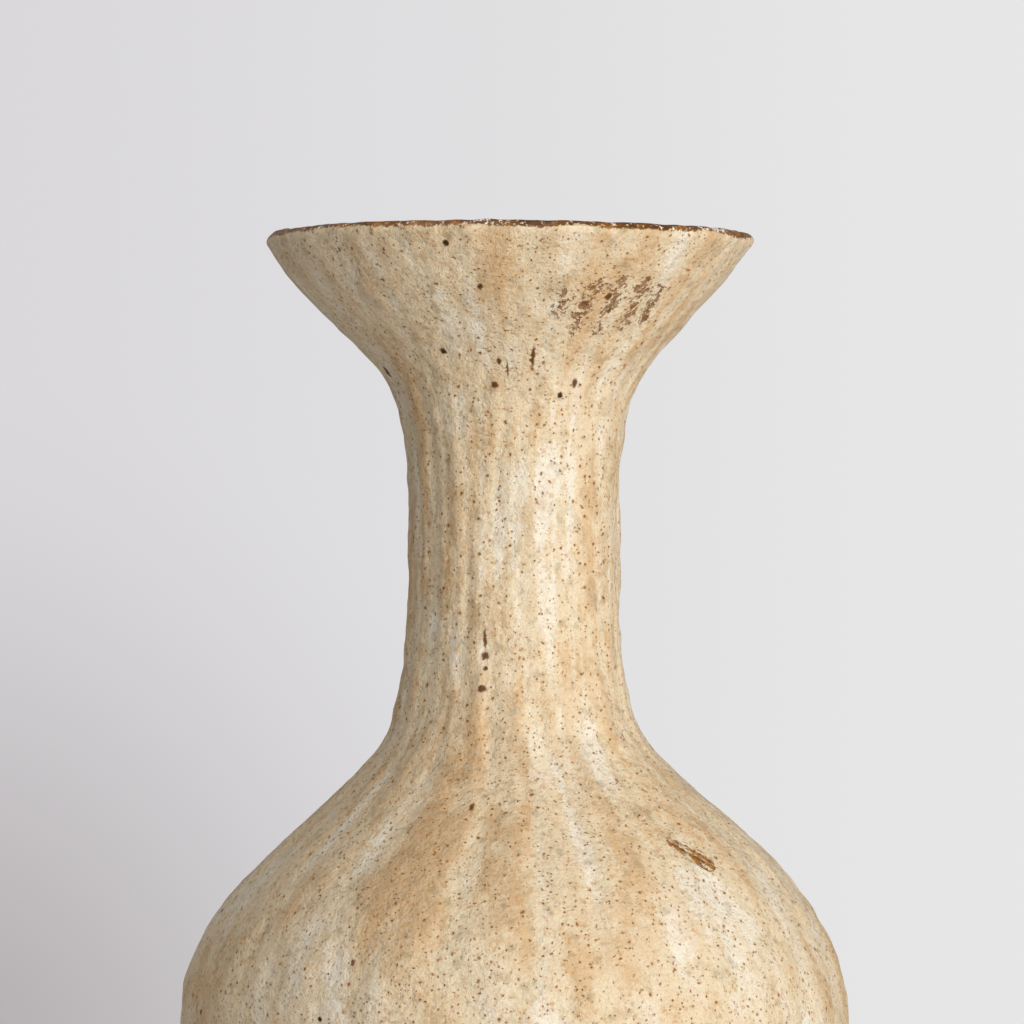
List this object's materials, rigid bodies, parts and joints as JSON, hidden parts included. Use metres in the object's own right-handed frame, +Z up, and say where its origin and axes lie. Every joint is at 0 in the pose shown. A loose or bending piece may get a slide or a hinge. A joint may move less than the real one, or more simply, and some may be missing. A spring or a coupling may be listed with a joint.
{
  "type": "pottery bottle vase",
  "caption": "Hand-thrown stoneware bottle vase with a round belly, a slim neck, a flared trumpet mouth and speckled cream glaze.",
  "frame": {"origin": "centre of the foot ring's standing face, on the table", "axes": "+Z up along the axis of the pot; the view in front looks along +Y with +X to the right"},
  "size_m": [0.151, 0.151, 0.275],
  "materials": {
    "stoneware_clay": "bare fired stoneware, matt and slightly gritty, with iron specks",
    "slip": "fired slip, matt and smooth",
    "cream_glaze": "satin cream glaze, mottled, with brown iron specks and broken patches",
    "liner_glaze": "satin cream liner glaze",
    "iron_wash": "iron-brown wash, broken over the lip"
  },
  "bodies": {
    "root": {"foot_ring": "stoneware_clay", "foot_slip": "slip", "lower_bowl": "stoneware_clay", "belly_slip": "slip", "shoulder_dome": "stoneware_clay", "neck_slip": "slip", "neck_tube": "stoneware_clay", "mouth_slip": "slip", "flared_mouth": "stoneware_clay", "outer_glaze": "cream_glaze", "inner_glaze": "liner_glaze", "lip_wash": "iron_wash"}
  },
  "joints": []
}
